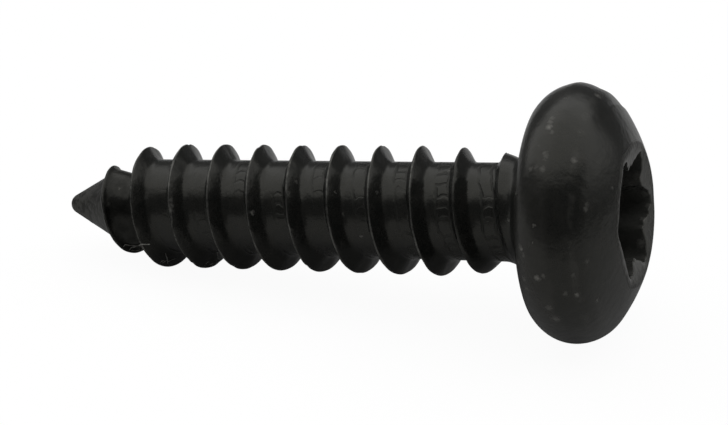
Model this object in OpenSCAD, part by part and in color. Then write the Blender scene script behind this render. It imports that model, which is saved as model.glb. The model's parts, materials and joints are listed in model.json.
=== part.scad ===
// Pan head sheet metal screw with a cone point and a six-lobe drive, lying at rest on its side.
// Millimetres, +Z up. The screw lies along X with its head at +X, touching the ground
// at the rim of the head and at one crest of the thread near the point.

/* [Thread] */
// Diameter over the thread crests
thread_d = 4.74; // [4.4:0.02:5.1]
// Diameter of the core between the crests
core_d = 3.56; // [3.2:0.02:3.9]
// Distance from one crest to the next
pitch = 1.6; // [1.4:0.05:1.9]
// Width of the flat left on a crest
crest_w = 0.12; // [0.06:0.02:0.2]
// Angle between the two flanks of a crest
flank_angle = 60; // [50:1:68]
// Turn about the axis at which the crest line would leave the tip
thread_turn = -90; // [-180:1:180]
// Distance from the tip to where the thread begins
thread_start = 1.05; // [0.9:0.05:1.6]
// Turns over which the thread rises out of the cone
rise_turns = 0.5; // [0.4:0.05:1]
// Distance from the tip to where the crests reach their full diameter
full_thread = 3.75; // [3.4:0.05:4.6]
// Angle of the cone that the crests follow over the point
crest_angle = 50; // [44:1:54]
// Distance from the seat to where the thread has sunk away
thread_stop = 0.65; // [0.5:0.05:2]
// Turns over which the thread sinks away
runout_turns = 2; // [1:0.1:3]

/* [Point] */
// Length from the seat under the head to the tip
shank_l = 19.45; // [13:0.05:30]
// Angle of the cone point, across both sides
point_angle = 55; // [50:1:58]
// Radius of the worn nose
nose_r = 0.4; // [0.2:0.02:0.5]
// Radius that eases the cone into the core
point_blend_r = 3; // [1:0.25:4]

/* [Head] */
// Diameter of the head at its widest ring
head_d = 9.22; // [8.8:0.02:10]
// Height of the widest ring above the seat
rim_h = 1.18; // [1:0.02:1.4]
// Outer diameter of the flat seat
seat_d = 8.2; // [7.4:0.02:8.6]
// Height of the crown above the seat, before the recess is cut
head_h = 3.74; // [3.5:0.02:4]
// Radius of the crown's dome
crown_r = 6.84; // [6.2:0.02:8]
// Diameter of the neck where it meets the seat
neck_d = 5.5; // [5.2:0.02:6]
// Length of the conical neck
neck_l = 1.5; // [0.8:0.05:1.8]

/* [Drive] */
// Diameter over the six lobes of the recess
lobe_d = 4.5; // [4.2:0.02:4.6]
// Diameter between opposite waists of the recess
waist_d = 3.26; // [3:0.02:3.5]
// Diameter of the countersunk mouth
mouth_d = 4.86; // [4.66:0.02:5.2]
// Slope of the countersink from the head's plane
mouth_slope = 16; // [8:1:30]
// Depth of the lobed walls below the mouth
recess_depth = 2; // [1.4:0.05:2.2]
// Depth of the drill-shaped floor below the lobed walls
floor_depth = 0.45; // [0.2:0.05:0.7]
// Turn of the lobes about the axis
drive_turn = 22; // [0:1:60]

/* [Hidden] */
$fn = 72;

finish_colour = [0.16, 0.16, 0.15];

// Points of the outline on each rounded stretch
nose_steps = 5;
blend_steps = 4;
rim_steps = 6;
corner_steps = 8;
crown_steps = 6;
lobe_steps = 12;

// Facets of the thread in one turn
turn_steps = 36;
// How far the foot of the thread lies inside the core, and its crest where the thread has gone
foot_sink = 0.2;
end_sink = 0.1;
lobe_count = 6;
cut_over = 0.2;

// Shank outline: nose, cone, blend and core, measured from the tip
core_r = core_d / 2;
point_half = point_angle / 2;
apex_gap = nose_r / sin(point_half) - nose_r;
cone_end = core_r / tan(point_half) - apex_gap;
blend_end = cone_end + point_blend_r * tan(point_half / 2);
blend_start = blend_end - point_blend_r * sin(point_half);

// Head outline: arc below the widest ring, corner above it, dome on the corner
head_r = head_d / 2;
rim_inset = head_r - seat_d / 2;
rim_r = (rim_inset ^ 2 + rim_h ^ 2) / (2 * rim_inset);
rim_sweep = asin(rim_h / rim_r);
crown_rise = rim_h - head_h + crown_r;
corner_r = (crown_r ^ 2 - head_r ^ 2 - crown_rise ^ 2) / (2 * (crown_r - head_r));
corner_sweep = atan2(crown_rise, head_r - corner_r);

// Recess levels above the seat
mouth_r = mouth_d / 2;
mouth_t = head_h - crown_r + sqrt(crown_r ^ 2 - mouth_r ^ 2);
lobe_floor_t = mouth_t - recess_depth;

// Thread section
thread_r = thread_d / 2;
thread_depth = thread_r - core_r;
flank_run = (thread_depth + foot_sink) * tan(flank_angle / 2);
first_step = floor(turn_angle(thread_start) / 360 * turn_steps);
last_step = ceil(turn_angle(shank_l - thread_stop) / 360 * turn_steps);

// Radius of the core at a distance from the tip
function shank_r(d) =
    d > blend_end ? core_r :
    d > blend_start ? core_r - point_blend_r + sqrt(point_blend_r ^ 2 - (blend_end - d) ^ 2) :
    (d + apex_gap) * tan(point_half);

// Turn about the axis reached by the crest line at a distance from the tip, and the reverse
function turn_angle(d) = thread_turn + 360 * d / pitch;
function crest_d(turn) = pitch * (turn - thread_turn) / 360;

// Share of the full depth that the thread has at a distance from the tip
function rise(d) = min(1, max(0, (d - thread_start) / (rise_turns * pitch)));
function runout(d) = min(1, max(0, 1 - (shank_l - thread_stop - d) / (runout_turns * pitch)));
function fullness(d) = sin(90 * rise(d)) * (1 - runout(d) ^ 3);

// Radius that the full crests have at a distance from the tip: a cone, then a cylinder
function envelope_r(d) = thread_r - max(0, full_thread - d) * tan(crest_angle / 2);

// Radius of the crest line at a distance from the tip, below the core where the thread has gone
function crest_r(d) =
    let (gone = shank_r(d) - end_sink)
    gone + (envelope_r(d) - gone) * fullness(d);

// Lean of the axis when the screw rests on the rim of its head and on the crest at that distance
function lean_on(d) =
    let (side = d - crest_w / 2 - shank_l)
    let (along = rim_h - side)
    let (across = head_r - rim_r - crest_r(d))
    atan2(across, along) + asin(rim_r / norm([along, across]));

// The crest that touches the ground is the one that stops the screw from leaning further
lowest_crests = [for (turn = [180:360:turn_angle(shank_l - thread_stop)])
    if (fullness(crest_d(turn)) > 0) crest_d(turn)];
lean = min([for (d = lowest_crests) lean_on(d)]);
seat_z = rim_r + (head_r - rim_r) * cos(lean) - rim_h * sin(lean);
back_x = (nose_r - shank_l) * cos(lean) - nose_r;
front_x = mouth_t * cos(lean) + mouth_r * sin(lean);
seat_x = -(back_x + front_x) / 2;

// Points along an arc about a centre, as radius and height pairs
function arc(centre, r, from, to, steps) =
    [for (i = [0:steps]) let (a = from + (to - from) * i / steps) centre + r * [cos(a), sin(a)]];

// Half outline of core and head, from the tip round to the crown
function body_outline() = concat(
    arc([0, nose_r - shank_l], nose_r, -90, -point_half, nose_steps),
    arc([core_r - point_blend_r, blend_end - shank_l], point_blend_r, -point_half, 0, blend_steps),
    [[core_r, -neck_l], [neck_d / 2, 0]],
    arc([head_r - rim_r, rim_h], rim_r, -rim_sweep, 0, rim_steps),
    [for (i = [1:corner_steps]) arc([head_r - corner_r, rim_h], corner_r, 0, corner_sweep, corner_steps)[i]],
    [for (i = [1:crown_steps]) arc([0, head_h - crown_r], crown_r, corner_sweep, 90, crown_steps)[i]]
);

// Four corners of the thread's section at a turn: root, both edges of the crest, root
function thread_section(turn) =
    let (d = crest_d(turn))
    let (reach = crest_w / 2 + flank_run)
    let (near = max(d - reach, thread_start - reach))
    [
        thread_point(turn, near, shank_r(near) - foot_sink),
        thread_point(turn, d - crest_w / 2, crest_r(d)),
        thread_point(turn, d + crest_w / 2, crest_r(d)),
        thread_point(turn, d + reach, shank_r(d + reach) - foot_sink)
    ];
function thread_point(turn, d, r) = [r * cos(turn), r * sin(turn), d - shank_l];

// Ridge of the thread, swept round the core by its section
module thread_ridge() {
    count = last_step - first_step;
    points = [for (i = [0:count]) each thread_section((first_step + i) * 360 / turn_steps)];
    sides = [for (i = [0:count - 1], j = [0:3])
        let (a = 4 * i + j, b = 4 * i + (j + 1) % 4)
        each [[a, b, b + 4], [a, b + 4, a + 4]]];
    ends = [[3, 2, 1], [3, 1, 0], [4 * count, 4 * count + 1, 4 * count + 2], [4 * count, 4 * count + 2, 4 * count + 3]];
    polyhedron(points, concat(sides, ends), convexity = 10);
}

// Six-lobe outline: the radius swings between the lobes and the waists
module lobe_outline() {
    middle = (lobe_d + waist_d) / 4;
    swing = (lobe_d - waist_d) / 4;
    polygon([for (i = [0:lobe_count * lobe_steps - 1])
        let (a = i * 360 / (lobe_count * lobe_steps))
        (middle + swing * cos(lobe_count * a)) * [cos(a + drive_turn), sin(a + drive_turn)]]);
}

// Drive recess: countersunk mouth, lobed walls and a drill-shaped floor
module drive_recess() {
    mouth_low = mouth_t - mouth_r * tan(mouth_slope) / 2;
    mouth_high = head_h + cut_over;
    translate([0, 0, mouth_low])
        cylinder(h = mouth_high - mouth_low, r1 = mouth_r / 2, r2 = mouth_r + (mouth_high - mouth_t) / tan(mouth_slope));
    translate([0, 0, lobe_floor_t])
        linear_extrude(height = mouth_t - lobe_floor_t)
            lobe_outline();
    translate([0, 0, lobe_floor_t - floor_depth])
        cylinder(h = floor_depth + cut_over, r1 = 0, r2 = waist_d / 2 * (floor_depth + cut_over) / floor_depth);
}

// The screw about its own axis: seat at height 0, tip at -shank_l, crown upwards
module upright_screw() {
    difference() {
        union() {
            rotate_extrude() polygon(body_outline());
            thread_ridge();
        }
        drive_recess();
    }
}

// The one piece, laid on the ground
module screw() {
    color(finish_colour)
        translate([seat_x, 0, seat_z])
            rotate([0, 90 - lean, 0])
                rotate([0, 0, 180])
                    upright_screw();
}

screw();
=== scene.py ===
# %% [markdown]
# # A pan head sheet metal screw in worn black
# The screw lies on its side, on the rim of its head and on one crest of its thread.
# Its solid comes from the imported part, which gives every size and place. This lesson dresses that
# solid: a finer skin with rounded crests and nicks, a black coat that has rubbed off along the
# edges, a pale studio and a camera.

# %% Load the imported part
import json

import bpy
import numpy as np
from mathutils import Matrix, Vector


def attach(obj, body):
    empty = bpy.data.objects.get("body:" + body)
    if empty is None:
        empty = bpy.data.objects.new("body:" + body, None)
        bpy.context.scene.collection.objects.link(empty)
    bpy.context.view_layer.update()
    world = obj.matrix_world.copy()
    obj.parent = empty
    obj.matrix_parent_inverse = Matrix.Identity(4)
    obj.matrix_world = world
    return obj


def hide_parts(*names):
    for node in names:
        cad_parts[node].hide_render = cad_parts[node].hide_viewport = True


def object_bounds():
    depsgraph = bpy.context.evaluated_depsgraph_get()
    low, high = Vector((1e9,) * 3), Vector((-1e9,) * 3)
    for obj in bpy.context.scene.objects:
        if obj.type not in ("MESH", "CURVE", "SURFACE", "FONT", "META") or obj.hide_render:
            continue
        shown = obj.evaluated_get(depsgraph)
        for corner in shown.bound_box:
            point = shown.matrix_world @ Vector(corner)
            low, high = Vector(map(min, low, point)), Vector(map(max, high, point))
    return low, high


MM = 0.001

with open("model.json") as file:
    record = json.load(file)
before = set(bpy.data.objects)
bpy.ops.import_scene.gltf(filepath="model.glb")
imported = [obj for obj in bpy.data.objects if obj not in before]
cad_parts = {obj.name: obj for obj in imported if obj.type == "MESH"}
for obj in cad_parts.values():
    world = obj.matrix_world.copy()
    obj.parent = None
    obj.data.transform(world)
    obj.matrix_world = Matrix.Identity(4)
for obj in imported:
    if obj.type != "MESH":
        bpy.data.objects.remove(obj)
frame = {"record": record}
cad_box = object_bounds()
print("CAD box in mm:", [round(float(v) / MM, 2) for corner in cad_box for v in corner])

# %% [markdown]
# ## The screw's own axes
# A turned part is easiest to describe round its axis: how far out, how far round, how far along.
# The record's mounts say where that axis lies. The thread's mount sits on it and the bearing face
# marks the seat under the head, so nothing has to be measured from the mesh.

# %% Find the axis and the seat
mounts = {mount["name"]: mount for mount in frame["record"]["mounts"]}
axis = np.array(mounts["drive_recess"]["axis"])
axis = axis / np.linalg.norm(axis)
near = np.array([0.0, -1.0, 0.0])
up = np.cross(near, axis)
on_axis = np.array(mounts["thread"]["pos_m"])
on_seat = np.array(mounts["bearing_face"]["pos_m"])
seat = on_axis + axis * np.dot(on_seat - on_axis, axis)


def place(radius, turn, height):
    """Points in the row frame, in metres, from cylinder coordinates about the screw's axis, in mm.

    A point is the seat's centre, plus the height along the axis, plus the radius along the
    direction up * cos(turn) + near * sin(turn). Height is 0 at the seat and grows to the crown."""
    outward = np.cos(turn)[..., None] * up + np.sin(turn)[..., None] * near
    return seat + MM * (height[..., None] * axis + radius[..., None] * outward)


lean = np.degrees(np.arcsin(axis[2]))
print("seat centre in mm:", np.round(seat / MM, 3), "lean:", round(float(lean), 3))

# %% [markdown]
# ## The core and its point
# Under the thread the screw is a plain bar: a worn nose, a cone, the core, and a neck that widens
# under the head. A lathe operator would cut it from one outline. Here the outline is a formula for
# the radius at a distance from the tip, made of straight lines that ease into each other.

# %% Radius of the bare core
SHANK_L = 19.45
CORE_R = 1.78
POINT_HALF = np.radians(27.5)
NOSE_R = 0.4
POINT_EASE = 0.36
NECK_R = 2.75
NECK_L = 1.05
NECK_EASE = 0.42

apex_gap = NOSE_R / np.sin(POINT_HALF) - NOSE_R
neck_slope = (NECK_R - CORE_R) / NECK_L


def smooth_max(a, b, reach):
    """The larger of two values, eased where they are closer than reach.

    There (reach - difference) squared over 4 * reach is added, which rounds the corner."""
    close = np.clip(reach - np.abs(a - b), 0.0, None)
    return np.maximum(a, b) + close**2 / (4.0 * reach)


def smooth_min(a, b, reach):
    """The smaller of two values, eased in the same way."""
    return -smooth_max(-a, -b, reach)


def shaft_radius(d):
    """Cone and core: the distance from the cone's apex times the tangent, held at the core's radius."""
    return smooth_min((d + apex_gap) * np.tan(POINT_HALF), CORE_R, POINT_EASE)


def with_neck(radius, d):
    """A radius, or the neck's slanting line below the seat where that is larger."""
    return smooth_max(radius, CORE_R + (d - SHANK_L + NECK_L) * neck_slope, NECK_EASE)


def body_radius(d):
    """The bare bar: the shaft and the neck."""
    return with_neck(shaft_radius(d), d)


print("core radius 1, 3 and 10 mm from the tip:", np.round(body_radius(np.array([1.0, 3.0, 10.0])), 3))

# %% [markdown]
# ## The crest line of the thread
# A rolled thread is one ridge that winds up the bar. Its crest climbs one pitch for each turn. Near
# the tip it rises out of the cone, follows a cone itself, then runs level, and below the head it
# sinks back. The radius of the crest is therefore a function of the distance from the tip alone.

# %% Radius of the crest line
PITCH = 1.6
THREAD_TURN = np.radians(-90)
THREAD_START = 1.05
RISE_TURNS = 0.5
FULL_THREAD = 3.75
CREST_HALF = np.radians(25)
THREAD_STOP = 0.65
RUNOUT_TURNS = 2.0
END_SINK = 0.1
SLOW_SINK = 0.36
LAST_POWER = 10

thread_r = mounts["thread"]["dims"]["r_mm"]


def thread_rise(d):
    """Share of the rise at the point: 0 where the thread begins, 1 half a turn later."""
    return np.clip((d - THREAD_START) / (RISE_TURNS * PITCH), 0.0, 1.0)


def thread_sink(d):
    """How far the thread has sunk below the head: 0 up to the run-out, 1 where it is gone."""
    return np.clip(1.0 - (SHANK_L - THREAD_STOP - d) / (RUNOUT_TURNS * PITCH), 0.0, 1.0)


def crest_radius(d):
    """Crest radius: the share of full depth times the envelope, on top of a line sunk in the core.

    The share is a quarter sine over the first half turn. Over the last two turns it falls in a line
    at first, and by a high power of the way at the very end."""
    sunk = SLOW_SINK * thread_sink(d) + (1.0 - SLOW_SINK) * thread_sink(d) ** LAST_POWER
    share = np.sin(np.pi / 2 * thread_rise(d)) * (1.0 - sunk)
    envelope = thread_r - np.clip(FULL_THREAD - d, 0.0, None) * np.tan(CREST_HALF)
    gone = shaft_radius(d) - END_SINK
    return gone + (envelope - gone) * share


print("crest radius 2, 4 and 18 mm from the tip:", np.round(crest_radius(np.array([2.0, 4.0, 18.0])), 3))

# %% [markdown]
# ## Nicks and a pressed crest
# Screws tumble against each other in the box, so their sharp crests carry small nicks and waver a
# little. Sculpting each nick by hand would be slow. Each is a bell-shaped dip at a turn picked by
# a seeded random generator, and one crest near the point is pressed flat, as in the photograph.

# %% Dips along the crest
NICKS = 60
NICK_TURNS = np.radians((500, 4000))
NICK_DEEP = (0.008, 0.045)
NICK_LONG = np.radians((2.0, 5.0))
WAVER = 0.007
WAVER_RATES = np.array([1.7, 3.1, 5.3, 8.9, 13.3])
PRESSED_TURN = np.radians(1156)
PRESSED_LONG = np.radians(8.0)
PRESSED_DEEP = 0.12

rng = np.random.default_rng(11)
nick_turn = rng.uniform(*NICK_TURNS, NICKS)
nick_deep = rng.uniform(*NICK_DEEP, NICKS)
nick_long = rng.uniform(*NICK_LONG, NICKS)
waver_phase = rng.uniform(0.0, 2 * np.pi, len(WAVER_RATES))


def nick_depth(turn):
    """How deep the nicks cut at a turn: the sum of bell curves, one column for each nick."""
    return (nick_deep * np.exp(-(((turn[:, None] - nick_turn) / nick_long) ** 2))).sum(1)


def waver(turn):
    """Small sideways swing of the crest: a sum of cosines with unequal rates, so it never repeats."""
    return WAVER * np.cos(turn[:, None] * WAVER_RATES + waver_phase).sum(1)


def pressed(turn):
    """1 where the crest is pressed flat, 0 elsewhere: e to the minus fourth power of the distance."""
    return np.exp(-(((turn - PRESSED_TURN) / PRESSED_LONG) ** 4))


print("deepest nick in mm:", round(float(nick_deep.max()), 3))

# %% [markdown]
# ## The thread's section
# Cut across, the ridge has a narrow crest and two straight flanks that run down into the core with
# a fillet. Rolling leans it a little, so its side towards the tip is the steeper one. The surface
# over one pitch is the largest of the root, this crest's ridge and the next one's, with the corners
# eased, so the fillets come by themselves, and so does the place where the thread dies away in the
# neck. There the crest also grows rounder.

# %% Radius of the ridge
CREST_W = 0.055
TIP_FLANK = np.radians(25)
HEAD_FLANK = np.radians(31)
LAST_FLANK = np.radians(62)
CREST_EASE = 0.035
LAST_EASE = 0.45


def ridge_radius(turn, across):
    """Radius of the ridge alone, at a turn of its crest line and a distance along the axis from it.

    A flank falls from the edge of the full crest by the distance over the tangent of its angle. The
    ridge is the smaller of flank and crest, so a nick cuts it off level and leaves the flanks."""
    d = PITCH * (turn - THREAD_TURN) / (2 * np.pi)
    full = crest_radius(d)[:, None]
    cap = full - (nick_depth(turn) + PRESSED_DEEP * pressed(turn))[:, None]
    along = across[None, :] - waver(turn)[:, None]
    sunk = thread_sink(d)[:, None] ** 2
    lean = np.where(along < 0.0, TIP_FLANK, HEAD_FLANK + LAST_FLANK * sunk)
    flank = full - (np.abs(along) - CREST_W / 2) / np.tan(lean)
    return smooth_min(flank, cap, CREST_EASE + (LAST_EASE - CREST_EASE) * sunk)


ridge = ridge_radius(np.array([9 * np.pi]), np.array([0.0, 0.2]))
print("ridge in mm, on its crest and 0.2 mm beside it:", np.round(ridge, 3))

# %% Radius across one pitch
ROOT_EASE = 0.16
ROOT_BACK, ROOT_BACK_D = (0.35, 0.05, 0.45), (2.0, 2.35, 3.6)
FIRST_DROP, FIRST_DROP_D = (0.24, 0.1, 0.0), (2.0, 2.35, 3.4)


def root_radius(turn, across):
    """Radius of the ground between two crests.

    The dies roll it level from crest to crest: it keeps the shaft's radius a little way behind the
    crest it follows, and in the first turn it falls towards the next crest. Before the thread has
    risen it is the plain cone."""
    d = PITCH * (turn - THREAD_TURN) / (2 * np.pi)
    here = d[:, None] + across[None, :]
    grown = thread_rise(d)[:, None]
    drop = np.interp(d, FIRST_DROP_D, FIRST_DROP)[:, None] * across[None, :]
    level_root = shaft_radius(d + np.interp(d, ROOT_BACK_D, ROOT_BACK))[:, None] - drop
    return with_neck(level_root * grown + shaft_radius(here) * (1.0 - grown), here)


def thread_radius(turn, across):
    """Radius of the whole shank from one crest to the next: the root and both ridges, eased together."""
    ridges = np.maximum(ridge_radius(turn, across), ridge_radius(turn + 2 * np.pi, across - PITCH))
    return smooth_max(ridges, root_radius(turn, across), ROOT_EASE)


root_and_crest = thread_radius(np.array([9 * np.pi]), np.array([PITCH / 2, 0.0]))
print("root and crest in mm:", np.round(root_and_crest, 3))

# %% [markdown]
# ## Where the rows go
# A grid line along every edge keeps a thread crisp with few faces. The rows across the pitch follow
# the section: they are spaced evenly by its length plus a share of its bending, so they crowd
# together at the crest and in the fillets and spread out over flanks and core.

# %% Space the rows across the pitch
ROWS = 28
BEND_WEIGHT = 0.22
FINE = 4001
PLAIN_TURN = np.radians(2000)

fine = np.linspace(0.0, PITCH, FINE)
section = thread_radius(np.array([PLAIN_TURN]), fine)[0]
slope = np.arctan(np.gradient(section, fine))
steps = np.hypot(np.diff(fine), np.diff(section)) + BEND_WEIGHT * np.abs(np.diff(slope))
travel = np.concatenate([[0.0], np.cumsum(steps)])
rows = np.interp(np.linspace(0.0, travel[-1], ROWS + 1), travel, fine)[:ROWS]
print("rows across the pitch:", ROWS, "closest in mm:", round(float(np.diff(rows).min()), 4))

# %% [markdown]
# ## The shank as a winding grid
# The grid runs along the thread instead of straight down the bar. One direction counts steps along
# the winding crest, the other counts rows from this crest to the next, and the last row of one turn
# is the first row of the next. Rows that would pass the nose or the neck are held on a ring there.

# %% Wind the grid round the core
COLUMNS = 180
LOW_D = 0.6
HIGH_D = SHANK_L - 0.3

first_d = LOW_D - PITCH
columns = int(np.ceil((HIGH_D - first_d) / PITCH * COLUMNS)) + COLUMNS + 1
column = np.arange(columns)
column_d = first_d + PITCH * column / COLUMNS
column_turn = THREAD_TURN + 2 * np.pi * column_d / PITCH
shank_r = thread_radius(column_turn, rows)
shank_d = column_d[:, None] + rows[None, :]
shank_turn = np.broadcast_to(column_turn[:, None], shank_d.shape)
print("winding grid:", shank_d.shape, "points")

# %% [markdown]
# ## Bare metal on the crest
# The black coat is thin and rubs off first where an edge is sharp. A number on each vertex says how
# exposed it is: 1 on the crest, falling to 0 a little way down the flank. The finish reads that
# number later and breaks it up.

# %% Mark the exposed crest
RUB_REACH = 0.022
PRESSED_WIDE = 0.08
PROUD = 0.3

from_crest = np.minimum(rows, PITCH - rows)[None, :]
beyond_edge = np.clip(from_crest - CREST_W / 2, 0.0, None)
proud = np.clip((crest_radius(column_d) - body_radius(column_d)) / PROUD, 0.0, 1.0)
keeps_sharp = proud * np.clip(1.0 - 2.0 * thread_sink(column_d), 0.0, 1.0)
rub_reach = RUB_REACH + PRESSED_WIDE * pressed(column_turn)
shank_rub = np.clip(1.0 - beyond_edge / rub_reach[:, None], 0.0, 1.0) * keeps_sharp[:, None]
print("share of shank points that are rubbed:", round(float((shank_rub > 0.5).mean()), 3))

# %% [markdown]
# ## Painted shade in the first turn
# In the first turn, close to the point, the thread is painted darker and made to mirror less: a
# painted shade for the shaded floor that lies close under it. It gets a number of its own on each vertex.

# %% Mark the painted shade in the first turn
PAINTED_SHADE_D = (1.7, 2.05, 2.25, 2.4, 2.75, 3.2)
PAINTED_SHADE_FIRST = (0.0, 0.5, 0.45, 0.62, 0.62, 0.0)

shank_painted_shade = np.interp(column_d, PAINTED_SHADE_D, PAINTED_SHADE_FIRST)[:, None] * (rows > CREST_W)[None, :]
print("share of shank points with soot:", round(float((shank_painted_shade > 0.1).mean()), 3))

# %% [markdown]
# ## The outline of the head
# The head was pressed in a die: a flat seat, a rounded rim, a tighter corner and a shallow dome.
# Its outline is a chain of arcs that meet smoothly, worked out from its diameter and heights as a
# draughtsman would, and spun about the axis.

# %% Chain of arcs from the neck to the crown
HEAD_H = 3.74
RIM_H = 1.18
SEAT_R = 4.03
CROWN_R = 6.84
NECK_FILLET = 0.2
FILLET_STEPS = 5
RIM_STEPS = 14
CORNER_STEPS = 44

head_r = float(cad_box[1].y - cad_box[0].y) / 2 / MM
rim_inset = head_r - SEAT_R
rim_r = (rim_inset**2 + RIM_H**2) / (2 * rim_inset)
rim_sweep = np.arcsin(RIM_H / rim_r)
crown_rise = RIM_H - HEAD_H + CROWN_R
corner_r = (CROWN_R**2 - head_r**2 - crown_rise**2) / (2 * (CROWN_R - head_r))
corner_sweep = np.arctan2(crown_rise, head_r - corner_r)


def arc(centre, radius, start, end, count):
    """Points on an arc: the centre plus the radius times the cosine and sine of even angles."""
    angle = np.linspace(start, end, count + 1)
    return np.stack([centre[0] + radius * np.cos(angle), centre[1] + radius * np.sin(angle)], -1)


def round_corner(before, corner, after, reach, count):
    """A corner rounded by a curve of the second degree between the points reach before and after it."""
    start = corner + reach * (before - corner) / np.linalg.norm(before - corner, axis=-1, keepdims=True)
    end = corner + reach * (after - corner) / np.linalg.norm(after - corner, axis=-1, keepdims=True)
    s = np.linspace(0.0, 1.0, count + 1).reshape((-1,) + (1,) * np.ndim(corner))
    return (1 - s) ** 2 * start + 2 * s * (1 - s) * corner + s**2 * end


neck_point = np.array([body_radius(np.array(HIGH_D)), HIGH_D - SHANK_L])
seat_start = np.array([NECK_R, 0.0])
seat_end = np.array([SEAT_R, 0.0])
outline = np.concatenate([
    neck_point[None],
    round_corner(neck_point, seat_start, seat_end, NECK_FILLET, FILLET_STEPS),
    np.linspace(seat_start + [2 * NECK_FILLET, 0.0], seat_end, FILLET_STEPS)[:-1],
    arc((head_r - rim_r, RIM_H), rim_r, -rim_sweep, 0.0, RIM_STEPS),
    arc((head_r - corner_r, RIM_H), corner_r, 0.0, corner_sweep, CORNER_STEPS)[1:],
])
print("head outline:", len(outline), "points, widest", round(float(outline[:, 0].max()), 3), "mm")

# %% [markdown]
# ## Dents in the head
# A pressed head is never perfectly smooth or straight. Shallow waves bend the reflections, the crown
# was struck a little askew, and its upper far side is flatter than the rest. The waves are a sum of
# cosines with whole numbers of waves round the head, so they meet at the seam. The flat side is a
# bell curve round the head times a depth that follows the height.

# %% Wave the surface
WAVES = 18
WAVE_H = 0.004
WAVE_LOW = 1.5
CROWN_FADE = 0.3
FLAT_TURN = np.radians(-32)
FLAT_WIDE = np.radians(24)
FLAT_T = (0.8, 1.15, 1.5, 1.8, 2.1, 2.5, 2.7, 3.0)
FLAT_DEEP = (0.0, -0.05, 0.0, 0.05, 0.02, 0.09, 0.09, 0.0)

head_turn = column_turn[:COLUMNS]
round_waves = rng.integers(1, 14, WAVES)
along_waves = rng.uniform(-4.0, 4.0, WAVES)
wave_phase = rng.uniform(0.0, 2 * np.pi, WAVES)
angle = head_turn[None, :, None] * round_waves + outline[:, 1, None, None] * along_waves + wave_phase
waves = np.cos(angle).sum(-1) / np.sqrt(WAVES)
above_rim = np.clip((outline[:, 1] - RIM_H) / RIM_H, 0.0, 1.0)
below_crown = np.clip((outline[-1, 1] - outline[:, 1]) / CROWN_FADE, 0.0, 1.0)
head_rings = np.broadcast_to(outline[:, None, :], (len(outline), COLUMNS, 2)).copy()
head_rings[..., 0] += (above_rim * below_crown)[:, None] * WAVE_H * (waves - WAVE_LOW)
off_flat = (head_turn - FLAT_TURN + np.pi) % (2 * np.pi) - np.pi
flat_side = np.exp(-((off_flat / FLAT_WIDE) ** 2))
head_rings[..., 0] -= np.interp(outline[:, 1], FLAT_T, FLAT_DEEP)[:, None] * flat_side
print("waves up to", round(float(WAVE_H * np.abs(waves).max()), 4), "mm")

# %% [markdown]
# ## The six-lobe recess
# A punch leaves the drive: a shallow round countersink, six lobes with straight walls, and a floor
# like the end of a drill. The lobed wall is a circle whose radius swings six times a turn. The
# punch hit a little off the middle, its lobes notch the rim of the countersink, and every corner
# gets a small round, because a sharp one would catch no light.

# %% Rim of the recess
LOBES = 6
WAIST_R = 1.63
MOUTH_R = 2.43
DRIVE_TURN = np.radians(22)
MOUTH_SLOPE = np.radians(16)
OFF_CENTRE = 0.07
OFF_TURN = np.radians(66)
NOTCH = 0.09
RAGGED = 0.034
RAGGED_RATES = (10, 46)

lobe_r = mounts["drive_recess"]["dims"]["r_mm"]
swing = np.cos(LOBES * (head_turn - DRIVE_TURN))
off = OFF_CENTRE * np.cos(head_turn - OFF_TURN)
ragged_waves = np.cos(head_turn[:, None] * rng.integers(*RAGGED_RATES, WAVES) + wave_phase)
ragged = RAGGED * ragged_waves.sum(1) / np.sqrt(WAVES / 2)
mouth_r = MOUTH_R + off + NOTCH * (0.5 + 0.5 * swing) ** 4
wall_r = (lobe_r + WAIST_R) / 2 + (lobe_r - WAIST_R) / 2 * swing + off


def dome_height(radius):
    """Height of the crown's dome above the seat: a circle's arc about a centre on the axis."""
    return HEAD_H - CROWN_R + np.sqrt(CROWN_R**2 - radius**2)


mouth_t = dome_height(MOUTH_R)
lip_t = dome_height(mouth_r)
edge_r = wall_r + ragged
wall_top = lip_t - (mouth_r - edge_r) * np.tan(MOUTH_SLOPE)
print("mouth from", round(float(mouth_r.min()), 3), "to", round(float(mouth_r.max()), 3), "mm")

# %% Rings of crown and recess
FLOOR_DEPTH = 0.45
LIP = 0.09
LOBE_EDGE = 0.04
FLOOR_FILLET = 0.12
CROWN_TILT = np.radians(0.4)
CROWN_STEPS = 18
ROUND_STEPS = 4
WALL_SHARES = np.linspace(0.2, 0.9, 5)[:, None]
FLOOR_SHARES = np.linspace(1.0, 0.04, 12)[:, None]

lobe_floor_t = mouth_t - mounts["drive_recess"]["dims"]["length_mm"]


def level(radius, height):
    """Pairs of radius and height for whole rings."""
    return np.stack(np.broadcast_arrays(radius, height), -1)


lip_ring = level(mouth_r, lip_t)
top_ring = level(edge_r, wall_top)
foot_ring = level(wall_r, lobe_floor_t)
inner_ring = level(0.8 * wall_r, lobe_floor_t)
crown_share = np.linspace(0.0, 1.0, CROWN_STEPS + 1)[1:, None]
crown_r = outline[-1, 0] + (mouth_r + LIP - outline[-1, 0]) * crown_share
crown = level(crown_r, dome_height(crown_r))
floor_r = FLOOR_SHARES * (wall_r - 2 * FLOOR_FILLET)
floor_t = lobe_floor_t - FLOOR_DEPTH * np.clip(1.0 - floor_r / WAIST_R, 0.0, 1.0)
lip = round_corner(crown[-1], lip_ring, top_ring, LIP, ROUND_STEPS)
edge = round_corner(lip_ring, top_ring, foot_ring, LOBE_EDGE, ROUND_STEPS)
wall = level(wall_r, WALL_SHARES * (lobe_floor_t - wall_top) + wall_top)
fillet = round_corner(top_ring, foot_ring, inner_ring, FLOOR_FILLET, ROUND_STEPS)
all_head = np.concatenate([head_rings, crown[:-1], lip, edge, wall, fillet, level(floor_r, floor_t)])
askew = np.clip((all_head[..., 1] - RIM_H) / (HEAD_H - RIM_H), 0.0, 1.0)
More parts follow.
